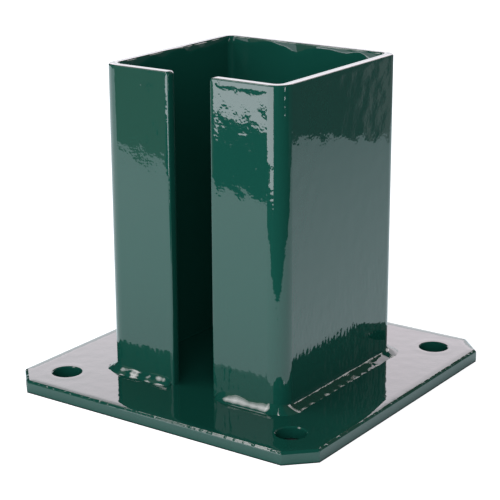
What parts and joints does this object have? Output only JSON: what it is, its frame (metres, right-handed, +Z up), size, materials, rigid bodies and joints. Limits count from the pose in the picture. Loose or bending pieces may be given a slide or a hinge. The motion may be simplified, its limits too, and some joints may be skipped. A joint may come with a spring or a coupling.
{
  "type": "post base",
  "caption": "Welded steel base for a square timber post: a square anchor plate with cut corners carries an open-topped square socket with a full-height slot in its front face.",
  "frame": {"origin": "centre of the base plate's underside", "axes": "+Z up along the socket, the slotted face towards -Y, plate edges along X and Y"},
  "size_m": [0.17, 0.17, 0.156],
  "materials": {
    "powder_coat": "high gloss moss green powder coat with light orange peel"
  },
  "bodies": {
    "root": {"base_plate": "powder_coat", "post_socket": "powder_coat", "weld_front_left": "powder_coat", "weld_front_right": "powder_coat", "weld_right": "powder_coat", "weld_back": "powder_coat", "weld_left": "powder_coat"}
  },
  "joints": []
}
